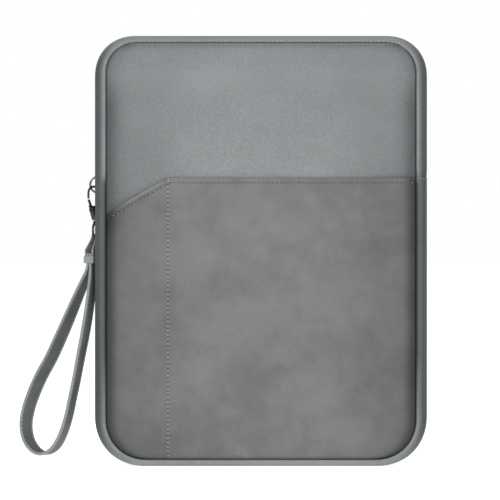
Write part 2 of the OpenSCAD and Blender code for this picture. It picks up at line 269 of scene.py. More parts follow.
strap_across = np.stack([np.cos(strap_turn), np.sin(strap_turn), 0 * strap_turn], -1)
lean = (strap_across * strap_along).sum(-1, keepdims=True)
strap_across = unit(strap_across - lean * strap_along)
strap_out = np.cross(strap_along, strap_across)


def strap_section(count):
    """A flat oval with squared sides, as (across, out) pairs: powers of the cosine and
    sine. Each cut edge has a fine line where the two plies meet, and each face sinks a
    little where the edge stitching pulls it in."""
    a = np.linspace(0, 2 * np.pi, count, endpoint=False)
    c, s = np.cos(a), np.sin(a)
    u = np.sign(c) * np.abs(c) ** 0.22 * strap_width / 2
    n = np.sign(s) * np.abs(s) ** 0.45 * strap_thick / 2
    ply = np.exp(-(n / 0.00014) ** 2) * (np.abs(c) > 0.5)
    seam = np.exp(-((np.abs(u) - stitch_aside) / 0.0003) ** 2) * (np.abs(n) > 0.0005)
    return u - np.sign(u) * ply * 0.00022, n - np.sign(n) * seam * 0.00012


u, n = strap_section(56)
grid = (strap_line[:, None] + u[None, :, None] * strap_across[:, None]
        + n[None, :, None] * strap_out[:, None])
strap = skin("strap_loop_band", grid, wrap_columns=True, caps=(0, -1))
edge = np.clip((np.abs(u) - strap_width / 2 + worn_edge) / 0.0006, 0, 1)
paint(strap, "edge", np.tile(edge, len(strap_line)))
strap_leather = strap_finish()
dress(strap, strap_leather, "strap_leather", ["strap_loop"], "strap")


# ---------------------------------------------------------------------------------------
# Thread: each stitch is a short plump piece of twisted thread, pressed into the face it
# holds. The strap's rows run along both edges of both faces.
def stitches(name, places, along, out, length, width, proud):
    """Closed lens shapes, one for each place: along it is a half circle of thickness, and
    round it an oval, so that both ends close to a small flat."""
    t = np.linspace(-1, 1, 6)
    a = np.linspace(0, 2 * np.pi, 7, endpoint=False)
    fat = 0.35 + 0.65 * np.sqrt(np.maximum(0, 1 - t**2))
    side = np.cross(along, out)
    grid = (places[:, None, None] + t[None, :, None, None] * along[:, None, None] * length / 2
            + (fat[:, None] * np.cos(a))[None, ..., None] * side[:, None, None] * width / 2
            + (fat[:, None] * np.sin(a))[None, ..., None] * out[:, None, None] * proud)
    rows, columns = len(t), len(a)
    i, j = np.meshgrid(np.arange(rows - 1), np.arange(columns), indexing="ij")
    right = (j + 1) % columns
    quads = np.stack([i * columns + j, (i + 1) * columns + j,
                      (i + 1) * columns + right, i * columns + right], -1).reshape(-1, 4)
    size = rows * columns
    starts = np.arange(len(places))[:, None, None] * size
    faces = (quads[None] + starts).reshape(-1, 4).tolist()
    ends = np.stack([np.arange(columns), np.arange(size - 1, size - 1 - columns, -1)])
    faces += (ends[None] + starts).reshape(-1, columns).tolist()
    return solid(name, grid.reshape(-1, 3), faces)


def thread_finish(name, dark, light):
    """Twisted thread: fine slanted strands, one tone darker between them."""
    made, place, sockets = finish(name, Roughness=0.7, Specular_IOR_Level=0.3)
    slant = place.node("Mapping", Vector=place, Rotation=(0.6, 0.5, 0.7))
    strand = place.node("TexWave", {"bands_direction": "X"}, Vector=slant, Scale=900,
                        Distortion=1.5)
    feed(strand.step(0.2, 0.9).between(dark, light), sockets["Base Color"])
    feed(place.node("Bump", Strength=0.5, Distance=0.0001, Height=strand),
         sockets["Normal"])
    return made


def along_line(line, pitch, margin):
    """Evenly spaced places on a line of points: row numbers, as fractions."""
    far = np.concatenate([[0], np.cumsum(np.linalg.norm(np.diff(line, axis=0), axis=1))])
    wanted = np.arange(margin, far[-1] - margin, pitch)
    return np.interp(wanted, far, np.arange(len(line)))


def at_rows(values, rows):
    """Rows of an array at fractional row numbers."""
    low = np.floor(rows).astype(int)
    high = np.minimum(low + 1, len(values) - 1)
    share = (rows - low)[:, None]
    return values[low] * (1 - share) + values[high] * share


strap_pitch = 0.0024
keeper_reach = 0.012  # the rows start this far in, where the keeper no longer hides them
rows = along_line(strap_line, strap_pitch, keeper_reach)
middle, run = at_rows(strap_line, rows), unit(at_rows(strap_along, rows))
wide, out = unit(at_rows(strap_across, rows)), unit(at_rows(strap_out, rows))
sides = [(u, n) for u in (-stitch_aside, stitch_aside) for n in (-1, 1)]
strap_threads = stitches(
    "strap_edge_stitches",
    np.vstack([middle + u * wide + n * (strap_thick / 2 - 0.00015) * out for u, n in sides]),
    np.vstack([run] * 4), np.vstack([n * out for u, n in sides]), 0.0018, 0.00045, 0.00028)
strap_thread = thread_finish("strap_thread", (0.16, 0.17, 0.17, 1), (0.36, 0.38, 0.375, 1))
dress(strap_threads, strap_thread, "thread", body="strap")


# ---------------------------------------------------------------------------------------
# Tab and keeper: the tab is a tapered strip folded round the swivel's eye, and the keeper
# is a narrow band sewn round the tab and both ends of the strap.
def rounded_copy(node, name, radius, segments=3):
    """The node's own shape with its doubled points merged and its sharp edges rounded."""
    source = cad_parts[node].data
    points = np.empty(len(source.vertices) * 3)
    source.vertices.foreach_get("co", points)
    points = points.reshape(-1, 3)
    _, first, same = np.unique(np.round(points * 1e6).astype(int), axis=0,
                               return_index=True, return_inverse=True)
    corners = np.empty(len(source.loops), int)
    source.loops.foreach_get("vertex_index", corners)
    faces = same.ravel()[corners].reshape(-1, 3)
    whole = ((faces[:, 0] != faces[:, 1]) & (faces[:, 1] != faces[:, 2])
             & (faces[:, 2] != faces[:, 0]))
    piece = solid(name, points[first], faces[whole].tolist())
    join = piece.modifiers.new("flats", "DECIMATE")
    join.decimate_type = "DISSOLVE"
    join.angle_limit = math.radians(2)
    bevel = piece.modifiers.new("edges", "BEVEL")
    bevel.width = radius
    bevel.segments = segments
    bevel.limit_method = "ANGLE"
    bevel.angle_limit = math.radians(28)
    bevel.harden_normals = False
    smooth = piece.modifiers.new("shading", "WEIGHTED_NORMAL")
    smooth.keep_sharp = True
    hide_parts(node)
    return piece


# The tab and keeper get painted light: the edge attribute makes them paler all over, where
# they face away from the lamps.
for node, name, radius, painted_light in (("strap_tab", "strap_folded_tab", 0.0003, 0.8),
                                 ("strap_keeper", "strap_keeper_band", 0.00035, 0.75)):
    piece = rounded_copy(node, name, radius)
    paint(piece, "edge", np.full(len(piece.data.vertices), painted_light))
    dress(piece, strap_leather, "strap_leather", body="strap")

tab_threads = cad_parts["strap_stitching"]
tab_threads.data.materials.clear()
tab_threads.data.materials.append(strap_thread)


# ---------------------------------------------------------------------------------------
# Clasp and swivel: a small cast lobster clasp coated glossy black, and a swivel eye in
# the same dark polished alloy as the zip's slider.
def metal_finish(name, tone, rough, worn, metallic=1.0):
    """Cast metal: faint polishing lines, and paler where a coat has rubbed through."""
    made, place, sockets = finish(name, Metallic=metallic, Roughness=rough)
    cloud = place.node("TexNoise", Vector=place, Scale=420, Detail=3)
    fine = place.node("TexNoise", Vector=place, Scale=5200, Detail=2)
    rub = (cloud + fine * 0.25).step(0.62, 0.85)
    feed(rub.between(tone, worn), sockets["Base Color"])
    feed(rough + fine * 0.16 - 0.05, sockets["Roughness"])
    feed(place.node("Bump", Strength=0.12, Distance=0.0001, Height=fine + cloud),
         sockets["Normal"])
    return made


gunmetal = metal_finish("gunmetal", (0.06, 0.06, 0.063, 1), 0.3, (0.16, 0.16, 0.16, 1))
black_coat = metal_finish("black_coated_metal", (0.018, 0.018, 0.02, 1), 0.22,
                          (0.06, 0.06, 0.063, 1), metallic=0.35)
for node, name, body, metal in (
        ("clasp_hook", "clasp_hook_and_body", "clasp", black_coat),
        ("clasp_gate", "clasp_gate_lever", "gate", black_coat),
        ("clasp_pin", "clasp_gate_pin", "clasp", gunmetal),
        ("clasp_spring", "clasp_gate_spring", "clasp", gunmetal),
        ("swivel_eye", "swivel_post_and_eye", "eye", gunmetal)):
    piece = rounded_copy(node, name, 0.00018 if node != "clasp_spring" else 0.00002)
    dress(piece, metal, "black_metal" if metal == black_coat else "gunmetal", body=body)


# ---------------------------------------------------------------------------------------
# Slider: two cast plates joined by a post at the end where the zip divides, and a bridge
# over the outer plate that the clasp hooks through.
for node, name in (("slider_body", "slider_plates"), ("slider_bridge", "slider_bridge_bar")):
    dress(rounded_copy(node, name, 0.0003), gunmetal, "gunmetal", body="slider")


# ---------------------------------------------------------------------------------------
# Edge bands: a roll of the woven fabric over foam, sewn to the panel along one seam and
# to the zip or the gusset along the other. On the case the front one bends where the
# flap folds; here it is one piece, fixed to no body.
side_band = 0.007
end_band = 0.0043
top_radius = 0.025
bottom_radius = 0.031
squareness = 2.15
pocket_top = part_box("pocket_leather")[1].z
fold_line = (0, -depth_half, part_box("flap_fabric")[0].z)
band_join = pocket_top + 0.0004


def outline(inset, steps=(24, 68, 52, 44)):
    """The case's outline with each given (side, end) inset: four superellipse quarters
    and the straight lines between them. Shape (places round it, insets, 2)."""
    dx, dz = np.asarray(inset, float).T
    wide, high = half_width - dx, case_top - dz
    over, under = top_radius - (dx + dz) / 2, bottom_radius - (dx + dz) / 2
    corners = []
    for cx, cz, r, start in ((wide - under, dz + under, under, 270),
                             (wide - over, high - over, over, 0),
                             (over - wide, high - over, over, 90),
                             (under - wide, dz + under, under, 180)):
        a = np.radians(start + np.linspace(0, 90, steps[0] + 1))[:, None]
        c, s = np.cos(a), np.sin(a)
        corners.append(np.stack([cx + r * np.sign(c) * np.abs(c) ** (2 / squareness),
                                 cz + r * np.sign(s) * np.abs(s) ** (2 / squareness)], -1))
    run = []
    for k, corner in enumerate(corners):
        after = corners[(k + 1) % 4][0]
        count = (steps[1], steps[2], steps[1], steps[3])[k]
        t = np.linspace(0, 1, count + 1)[1:-1, None, None]
        run += [corner, corner[-1] * (1 - t) + after * t]
    return np.concatenate(run)


def curve_through(points, steps):
    """A closed smooth curve through points of a section."""
    closed = np.vstack([points[-1:], points, points[:2]])
    return smooth_run(closed, steps)[steps:-steps - 1]


def band_section():
    """The roll's section as (share of the inset, depth from the face): a sharp rise out
    of the seam to a crest beside it, and a long fall round to the side."""
    shape = [(1.0, 0.0026), (0.998, 0.001), (0.965, 0.0003), (0.9, 0.0), (0.76, 0.0001),
             (0.55, 0.0008), (0.32, 0.002), (0.13, 0.0034), (0.03, 0.0046), (0.0, 0.0053),
             (0.04, 0.0059), (0.2, 0.0063), (0.45, 0.00635), (0.8, 0.0062), (1.0, 0.005)]
    return curve_through(np.array(shape), 4)


def weave_finish(name, thread, gap):
    """Fine twill: slanted ribs crossed by the finer weft, with soft mottling. The lines
    run on sums and differences of the coordinates, so they lie on every side. The shade
    attribute is painted shade, which darkens the cloth towards its seams and sides."""
    made, place, sockets = finish(name, Roughness=0.88, Specular_IOR_Level=0.15)
    x = place.node("SeparateXYZ", Vector=place)
    y, z = x.out("Y"), x.out("Z")
    wander = place.node("TexNoise", Vector=place, Scale=600, Detail=2)
    warp = ((x - z + y * 0.8) * 6100 + wander * 6).math("SINE") * 0.5 + 0.5
    weft = ((x * 0.4 + z + y * 0.9) * 8700 + wander * 5).math("SINE") * 0.5 + 0.5
    rib = warp * 0.6 + weft * 0.4
    cloud = place.node("TexNoise", Vector=place, Scale=32, Detail=4)
    fleck = place.node("TexNoise", Vector=place, Scale=950, Detail=2, Roughness=0.7)
    light = rib * 0.4 + fleck * 0.6 + (cloud - 0.5) * 0.3
    cloth = light.step(0.3, 0.72).between(gap, thread)
    # Painted shade: the shade attribute darkens the cloth's colour towards black.
    shade = place.node("Attribute", {"attribute_name": "shade"}).out("Fac")
    feed(shade.between((0.012, 0.014, 0.015, 1), cloth), sockets["Base Color"])
    feed(0.92 - rib * 0.12, sockets["Roughness"])
    feed(place.node("Bump", Strength=0.4, Distance=0.0002,
                    Height=rib * 0.6 + fleck * 0.4), sockets["Normal"])
    return made


woven = weave_finish("woven_fabric", (0.261, 0.28, 0.284, 1), (0.17, 0.183, 0.186, 1))


def edge_band(name, front):
    """The section carried round the outline. The band's two lengths are joined by a seam
    on the right, level with the pocket's edge, which pinches them. Painted shade: darker
    on the sides than at the top and bottom, different above and below the seam, and
    darker at the join and on the roll's inner side."""
    share, deep = band_section().T
    rim = outline(np.stack([share * side_band, share * end_band], -1))
    y = depth_half - deep
    grid = np.stack([rim[..., 0], np.broadcast_to(-y if front else y, rim.shape[:2]),
                     rim[..., 1]], -1)
    middle = grid.mean(1, keepdims=True)
    seam = np.exp(-((middle[..., 2] - band_join) / 0.001) ** 2) * (middle[..., 0] > 0)
    grid = middle + (grid - middle) * (1 - 0.16 * seam[..., None])
    piece = skin(name, grid, wrap_rows=True, wrap_columns=True)

    facing = unit(np.roll(middle[:, 0], -1, axis=0) - np.roll(middle[:, 0], 1, axis=0))
    sideways = np.clip(np.abs(facing[:, 2]) ** 1.5, 0, 1)[:, None]
    # Painted shade across the band on its sides, above and below the pocket's edge: dark on
    # the outer side, light on the crest beside the seam, dark in the seam.
    stops = [0, 0.3, 0.42, 0.6, 0.73, 0.84, 0.93, 1]
    upper = np.interp(share, stops, [0.36, 0.31, 0.37, 0.6, 0.86, 1, 0.85, 0.35])[None]
    lower = np.interp(share, stops, [0.42, 0.31, 0.36, 0.48, 0.46, 0.34, 0.14, 0.08])[None]
    low = 1 / (1 + np.exp((middle[:, 0, 2:] - pocket_top + 0.001) / 0.0012))
    low = low * np.clip((middle[:, 0, 2:] - 0.02) / 0.05, 0, 1)
    at_end = np.interp(share, [0, 0.8, 0.93, 1], [1.08, 0.98, 1.05, 1.5])[None]
    side = upper * (1 - low) + lower * low
    shade = (side * sideways + at_end * (1 - sideways)) * (1 - 0.55 * seam)
    # Painted shade 0.4 on the roll's inner side, towards the zip.
    paint(piece, "shade", np.where(deep[None] > 0.0056, 0.4, shade))
    return piece


def join_thread(name, front):
    """A thread laid across the band along its join: a circle carried on the section."""
    share, deep = band_section()[3:34].T
    y = depth_half - deep + 0.0001
    line = np.stack([half_width + 0.0001 - share * side_band, -y if front else y,
                     np.full(len(share), band_join - 0.0008)], -1)
    along = unit(np.gradient(line, axis=0))
    up = np.array([0.0, 0.0, 1.0])
    out = np.cross(along, up)
    a = np.linspace(0, 2 * np.pi, 8, endpoint=False)[None, :, None]
    grid = line[:, None] + 0.0003 * (np.cos(a) * up + np.sin(a) * out[:, None])
    return skin(name, grid, wrap_columns=True, caps=(0, -1))


join_tone = thread_finish("join_thread", (0.13, 0.137, 0.139, 1), (0.18, 0.189, 0.192, 1))
for name, front in (("band_join_front", True), ("band_join_back", False)):
    dress(join_thread(name, front), join_tone, "thread", body="case")


def hang(piece, front):
    """Fixes a back piece to the case, and bakes a front one's place into its points."""
    if front:
        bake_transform(piece)
    else:
        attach(piece, "case")


for name, front, nodes in (
        ("edge_band_front", True, ["front_lower_band", "flap_band"]),
        ("edge_band_back", False, ["back_lower_band", "back_upper_band"])):
    band = edge_band(name, front)
    dress(band, woven, "band_fabric", nodes)
    hang(band, front)


# ---------------------------------------------------------------------------------------
# Gusset: between the two bands, where there is no zip, runs a strip of the same woven
# fabric, and inside it a strip of plush.
zip_inset = (0.0045, 0.003)
zip_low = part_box("front_tape_end")[0].z
strip_thick = 0.0008
end_gap = 0.0003
gusset_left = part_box("gusset_lining")[1].z
gusset_right = fold_line[2] - end_gap


def part_of_outline(inset, left, right, above):
    """The stretch of the outline above, or below, a height given for each side. Its two
    ends are cut off level at those heights."""
    rim = outline(inset)
    limit = np.where(rim[:, 0, 0] < 0, left, right)
    keep = (rim[:, 0, 1] > limit) == above
    first = np.flatnonzero(keep & ~np.roll(keep, 1))[0]
    rim = np.roll(rim, -first, axis=0)[:keep.sum()]
    ends = rim[[0, -1]].copy()
    ends[..., 1] = np.where(ends[..., 0] < 0, left, right)
    return np.concatenate([ends[:1], rim, ends[1:]])


def strip(name, middle, thick, y_low, y_high, left, right, above):
    """A flat strip along the outline, with rounded edges. Its section is a rectangle
    with each corner cut by two points."""
    t, r = thick / 2, thick * 0.3
    section = np.array([(-t, y_low + r), (-t + r, y_low), (t - r, y_low), (t, y_low + r),
                        (t, y_high - r), (t - r, y_high), (r - t, y_high), (-t, y_high - r)])
    rim = part_of_outline(np.add.outer(section[:, 0], middle), left, right, above)
    y = np.broadcast_to(section[:, 1], rim.shape[:2])
    return skin(name, np.stack([rim[..., 0], y, rim[..., 1]], -1), wrap_columns=True,
                caps=(0, -1))


low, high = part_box("gusset_strip")
gusset = strip("gusset_fabric_strip", zip_inset, strip_thick, low.y, high.y,
               zip_low - end_gap, gusset_right, False)
# The gusset strip gets painted shade 0.62, darker all over.
paint(gusset, "shade", np.full(len(gusset.data.vertices), 0.62))
dress(gusset, woven, "band_fabric", ["gusset_strip"], "case")


def plush_finish():
    """Short dense pile: clumps of fibres that lie this way and that, darker between."""
    made, place, sockets = finish("plush_lining", Roughness=0.95, Specular_IOR_Level=0.1,
                                  Sheen_Weight=0.5, Sheen_Roughness=0.4)
    clump = place.node("TexVoronoi", {"feature": "SMOOTH_F1"}, Vector=place, Scale=900)
    lay = place.node("TexNoise", Vector=place, Scale=45, Detail=4)
    fibre = place.node("TexNoise", Vector=place, Scale=3200, Detail=2)
    pile = lay * 0.5 + fibre * 0.3 + (1 - clump) * 0.2
    feed(pile.step(0.35, 0.7).between((0.05, 0.052, 0.055, 1), (0.12, 0.125, 0.13, 1)),
         sockets["Base Color"])
    feed(place.node("Bump", Strength=0.6, Distance=0.0004, Height=fibre + lay),
         sockets["Normal"])
    return made


plush = plush_finish()
low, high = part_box("gusset_lining")
plush_inset = (0.0057, 0.0048)
gusset_plush = strip("gusset_plush_strip", plush_inset, strip_thick, low.y, high.y,
                     gusset_left, gusset_left, False)
dress(gusset_plush, plush, "plush_lining", ["gusset_lining"], "case")


# ---------------------------------------------------------------------------------------
# Zip: two tapes sewn to the bands and two nylon coils that meet in the middle, with a
# metal stop at each end. On the case the front half belongs to the flap, except its
# lowest stretch; here the front tape and coil are each one piece, fixed to no body.
# A guard strip of the same tape, sewn to the back half, lies behind the coils.
def tape_finish():
    """Fine woven tape: close ribs along it, with uneven darker threads."""
    made, place, sockets = finish("zip_tape", Roughness=0.85, Specular_IOR_Level=0.2)
    y = place.node("SeparateXYZ", Vector=place).out("Y")
    rib = (y * 12500).math("SINE") * 0.5 + 0.5
    fleck = place.node("TexNoise", Vector=place, Scale=1800, Detail=2)
    tone = (rib * 0.4 + fleck * 0.6).step(0.25, 0.8)
    feed(tone.between((0.1, 0.108, 0.11, 1), (0.2, 0.215, 0.218, 1)), sockets["Base Color"])
    feed(place.node("Bump", Strength=0.4, Distance=0.0001, Height=rib + fleck),
         sockets["Normal"])
    return made


def coil_finish():
    """Drawn nylon: smooth, a little paler where the turns are worn."""
    made, place, sockets = finish("zip_coil", Roughness=0.4)
    worn = place.node("TexNoise", Vector=place, Scale=500, Detail=3)
    feed(worn.step(0.45, 0.7).between((0.07, 0.074, 0.076, 1), (0.15, 0.158, 0.16, 1)),
         sockets["Base Color"])
    feed(0.34 + worn * 0.16, sockets["Roughness"])
    return made


coil_pitch = 0.0014
coil_wire = 0.00026
coil_high = 0.0007            # half the ellipse's height, out of the case
coil_meshed = (0.00148, 0.00136)  # its middle's distance from the zip's, and its half width
coil_parted = (0.00181, 0.0011)   # the same where the coils stand apart
post_top = 0.1714
post_fade = 0.0015
tape_edge = 0.0005


def zip_coil(name, side, left, right):
    """A nylon thread wound along the outline: a circle carried on an ellipse that turns
    once for each pitch, wide in depth and flat across. Below the slider's post the two
    coils stand apart, and the ellipse is narrower."""
    rim = part_of_outline([zip_inset, np.array(zip_inset) - 0.0005], left, right, True)
    line, outer = rim[:, 0], rim[:, 1]
    far = np.concatenate([[0], np.cumsum(np.linalg.norm(np.diff(line, axis=0), axis=1))])
    turns = far[-1] / coil_pitch
    at = np.linspace(0, far[-1], int(turns * 12))
    line, outer = (np.stack([np.interp(at, far, v[:, k]) for k in (0, 1)], -1)
                   for v in (line, outer))
    normal = unit(outer - line)
    normal = np.stack([normal[:, 0], np.zeros(len(at)), normal[:, 1]], -1)
    spin = at / coil_pitch * 2 * np.pi + (0 if side > 0 else np.pi)
    deep = np.array([0.0, side, 0.0])
    c, s = np.cos(spin)[:, None], np.sin(spin)[:, None]
    parted = np.clip((post_top - line[:, 1]) / post_fade, 0, 1) * (line[:, 0] < 0)
    away, reach = (a + (b - a) * parted for a, b in zip(coil_meshed, coil_parted))
    centre = (np.stack([line[:, 0], side * away, line[:, 1]], -1)
              + normal * c * coil_high + deep * s * reach[:, None])
    along = unit(np.gradient(centre, axis=0))
    out = unit(normal * c * 1.1 + deep * s * 0.7)
    wide = np.cross(along, out)
    a = np.linspace(0, 2 * np.pi, 5, endpoint=False)
    grid = (centre[:, None] + coil_wire * (np.cos(a)[None, :, None] * out[:, None]
                                           + np.sin(a)[None, :, None] * wide[:, None]))
    return skin(name, grid, wrap_columns=True, caps=(0, -1))


tape_material = tape_finish()
coil_material = coil_finish()
zip_top = fold_line[2]
for side, where in ((-1, "front"), (1, "back")):
    low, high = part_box("back_tape")
    span = (tape_edge, high.y) if side > 0 else (-high.y, -tape_edge)
    tape = strip("zip_tape_" + where, zip_inset, strip_thick, *span, zip_low, zip_top, True)
    coil = zip_coil("zip_coil_" + where, side, zip_low, zip_top)
    tape_nodes = ["back_tape"] if side > 0 else ["flap_tape", "front_tape_end"]
    coil_nodes = ["back_coil"] if side > 0 else ["flap_coil", "front_coil_end"]
    dress(tape, tape_material, "zip_tape", tape_nodes)
    dress(coil, coil_material, "zip_coil", coil_nodes)
    hang(tape, side < 0)
    hang(coil, side < 0)

guard_behind = 0.0031
guard_thick = 0.0007
guard_span = (-0.0044, 0.0052)
guard = strip("zip_guard_strip", np.array(zip_inset) + guard_behind, guard_thick,
              *guard_span, zip_low, zip_top, True)
dress(guard, tape_material, "zip_tape", body="case")

stops = rounded_copy("zip_stops", "zip_end_stops", 0.00012)
dress(stops, gunmetal, "gunmetal", body="case")


# ---------------------------------------------------------------------------------------
# Panels: woven fabric over a foam sheet, sewn all round into the bands. The seams hold
# the edges down and the foam pushes the middle out. The dome is given, and the cloth
# simulation then swells it by up to swell_cap.
panel_wide = half_width - side_band
panel_low, panel_high = end_band, case_top - end_band
radius_over = top_radius - (side_band + end_band) / 2
radius_under = bottom_radius - (side_band + end_band) / 2


def half_width_at(z):
    """Half the panel's width at a height: the corners' superellipse, or the full width."""
    low = np.clip((panel_low + radius_under - z) / radius_under, 0, 1)
    high = np.clip((z - panel_high + radius_over) / radius_over, 0, 1)
    fall_low = radius_under * (1 - (1 - low**squareness) ** (1 / squareness))
    fall_high = radius_over * (1 - (1 - high**squareness) ** (1 / squareness))
    return panel_wide - fall_low - fall_high


def panel_rows(count):
    """Heights of the panel's rows, close together where the corners turn quickly."""
    under = panel_low + radius_under * (1 - np.cos(np.linspace(0, np.pi / 2, 18)))
    over = panel_high - radius_over * (1 - np.cos(np.linspace(0, np.pi / 2, 16)))
    return np.concatenate([under, np.linspace(under[-1], over[-1], count)[1:-1], over[::-1]])


def to_seam(x, z):
    """Distances to the side seam, and to the seam at the top or bottom."""
    return (np.maximum(half_width_at(z) - np.abs(x), 0),
            np.maximum(np.minimum(z - panel_low, panel_high - z), 0))


def puff(x, z):
    """How far the padding stands out of the seam, from 0 there to 1: a quick rise beside
    each seam times a slow dome over the whole panel."""
    side, end = to_seam(x, z)
    rise = (1 - 0.7 * np.exp(-side / 0.0045) - 0.3 * np.exp(-side / 0.0003)) * (
        1 - 0.7 * np.exp(-end / 0.0036) - 0.3 * np.exp(-end / 0.0003))
    tall = (z - (panel_low + panel_high) / 2) / (panel_high - panel_low) * 2
    dome = np.clip((1 - (x / panel_wide) ** 2) * (1 - tall**2), 0, 1)
    return rise * (0.75 + 0.25 * dome**0.6)


# Painted shade against distance from the side seam: the distances, and the shade of each
# material.
side_steps = np.array([0, 0.6, 2, 3.2, 5, 7, 9, 15, 21, 33, 57, 90]) / 1000
cloth_shade_fall = [0.3, 0.42, 0.4, 0.43, 0.52, 0.62, 0.71, 0.82, 0.83, 0.86, 0.98, 1]
leather_shade_fall = [0.2, 0.3, 0.25, 0.29, 0.45, 0.62, 0.72, 0.78, 0.79, 0.88, 0.98, 1]


def painted_shade_at(x, z, fall, near):
    """Painted shade: the surface's tone against its middle. It falls away slowly towards the
    side seams, by steps given in fall, less so near the top, and changes quickly beside
    the seams at the top and bottom, by steps given in near."""
    side, end = to_seam(x, z)
    deep = np.clip((0.257 - z) / 0.035, 0.5, 1)
    return ((1 - deep * (1 - np.interp(side, side_steps, fall)))
            * np.interp(end, [0, 0.0006, 0.0014, 0.0028, 0.006, 0.012, 0.02], near))


seam_depth = 0.0024
panel_rise = 0.0029
swell_cap = 0.0006


def pad(name, outer, inner):
    """A closed pad over the panel's outline. Columns crowd at the sides. The outer and
    inner functions give how far each face is from the middle plane, with its sign."""
    z = panel_rows(62)
    u = np.sin(np.linspace(-1, 1, 84) * 1.42) / math.sin(1.42)
    x = u[None] * half_width_at(z)[:, None]
    z = np.broadcast_to(z[:, None], x.shape)
    face = np.stack([x, outer(x, z), z], -1)
    back = np.stack([x, inner(x, z), z], -1)[:, ::-1]
    grid = np.concatenate([face, back], 1)
    rows, wide = grid.shape[:2]
    k = np.arange(wide // 2 - 1)
    bottom = np.stack([k + 1, k, wide - 1 - k, wide - 2 - k], -1)
    top = np.stack([k, k + 1, wide - 2 - k, wide - 1 - k], -1) + (rows - 1) * wide
    piece = skin(name, grid, wrap_columns=True, extra=np.concatenate([bottom, top]))
    free = np.zeros((rows, wide), bool)
    free[1:-1, 1:wide // 2 - 1] = True
    return piece, grid, free


def inflate(piece, free, cap):
    """Blows the pad up as cloth under pressure, held wherever it isn't free, and lets no
    point move further than the cap."""
    start = np.empty(len(piece.data.vertices) * 3)
    piece.data.vertices.foreach_get("co", start)
    start = start.reshape(-1, 3)
    held = piece.vertex_groups.new(name="held")
    held.add(np.flatnonzero(~free.ravel()).tolist(), 1.0, "REPLACE")
    cloth = piece.modifiers.new("cloth", "CLOTH")
    cloth.settings.quality = 4
    cloth.settings.mass = 0.25
    cloth.settings.tension_stiffness = 25
    cloth.settings.compression_stiffness = 25
    cloth.settings.shear_stiffness = 12
    cloth.settings.bending_stiffness = 4
    cloth.settings.vertex_group_mass = "held"
    cloth.settings.use_pressure = True
    cloth.settings.uniform_pressure_force = 4
    cloth.settings.effector_weights.gravity = 0
    cloth.collision_settings.use_collision = False
    cloth.point_cache.frame_start = 1
    cloth.point_cache.frame_end = 20
    for moment in range(1, 21):
        scene.frame_set(moment)
    ready = piece.evaluated_get(bpy.context.evaluated_depsgraph_get()).to_mesh()
    after = np.empty(len(ready.vertices) * 3)
    ready.vertices.foreach_get("co", after)
    move = after.reshape(-1, 3) - start
    far = np.linalg.norm(move, axis=1, keepdims=True)
    moved = start + move * np.minimum(1, cap / np.maximum(far, 1e-9))
    piece.modifiers.remove(cloth)
    piece.data.vertices.foreach_set("co", moved.astype(np.float32).ravel())
    piece.data.update()
    scene.frame_set(1)


lining_out = -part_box("front_foam")[1].y
lining_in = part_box("back_lining")[0].y
for side, where in ((-1, "front"), (1, "back")):
    cover, grid, free = pad(where + "_padded_panel",
                            lambda x, z: side * (depth_half - seam_depth
                                                 + panel_rise * puff(x, z)),
                            lambda x, z: side * (lining_out + 0.0001) + 0 * x)
    inflate(cover, free, swell_cap)
    # Painted shade on the panel, darker towards the side seams, and painted light beside the
    # top and bottom seams.
    paint(cover, "shade", painted_shade_at(grid[..., 0], grid[..., 2], cloth_shade_fall,
                                  [1.5, 1.15, 0.95, 0.92, 0.92, 0.95, 1]))
    cloth_nodes = (["back_fabric", "back_foam"] if side > 0 else
                   ["front_fabric", "front_foam", "flap_fabric", "flap_foam"])
    dress(cover, woven, "woven_fabric", cloth_nodes)

    lining = pad(where + "_plush_lining",
                 lambda x, z: side * lining_out + 0 * x,
                 lambda x, z: side * (lining_in + 0.00012 * np.sin(x * 410)
                                      * np.cos(z * 370)))[0]
    dress(lining, plush, "plush_lining",
          ["back_lining"] if side > 0 else ["front_lining", "flap_lining"])
    hang(cover, side < 0)
    hang(lining, side < 0)


# ---------------------------------------------------------------------------------------
# Top seam: a row of dark stitches shows in the groove between the flap's panel and its
# band.
top_row_drop = 0.0068  # the row ends where the seam has come down this far
seam_line = outline([(side_band - 0.0001, end_band - 0.0001)])[:, 0]
seam_line = seam_line[seam_line[:, 1] > case_top - top_row_drop]
seam_line = np.stack([seam_line[:, 0], np.full(len(seam_line), -depth_half + 0.0004),
                      seam_line[:, 1]], -1)
rows = along_line(seam_line, 0.0026, 0.002)
places = at_rows(seam_line, rows)
along = unit(at_rows(np.gradient(seam_line, axis=0), rows))
lean_in = np.array([0, -0.25, -1.0])
along = unit(along + 0.1 * np.where(np.arange(len(rows)) % 2 > 0, 1, -1)[:, None] * lean_in)
out = np.tile([0.0, -1.0, 0.0], (len(rows), 1))
seam_thread = thread_finish("seam_thread", (0.03, 0.032, 0.033, 1), (0.08, 0.085, 0.087, 1))
seam_threads = stitches("top_seam_stitches", places, along, out, 0.002, 0.0007, 0.0004)
dress(seam_threads, seam_thread, "thread", body="flap")


# ---------------------------------------------------------------------------------------
# Pocket: one sheet of nubuck-like synthetic leather, hemmed along its mouth. A seam from
# the mouth to the bottom divides it into a slanted pen pocket and a wide pocket.
leather_low, leather_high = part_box("pocket_leather")
divider_x = -0.0566
slant_low = 0.154
leather_thick = leather_high.y - leather_low.y
lip_width = 0.0011
hem_depth = 0.003
pitch = 0.0027


def mouth_at(x):
    """The height of the pocket's mouth: level, and falling left of the dividing seam."""
    fall = np.clip((divider_x - x) / (divider_x + panel_wide), 0, 1)
    return pocket_top - fall * (pocket_top - slant_low)


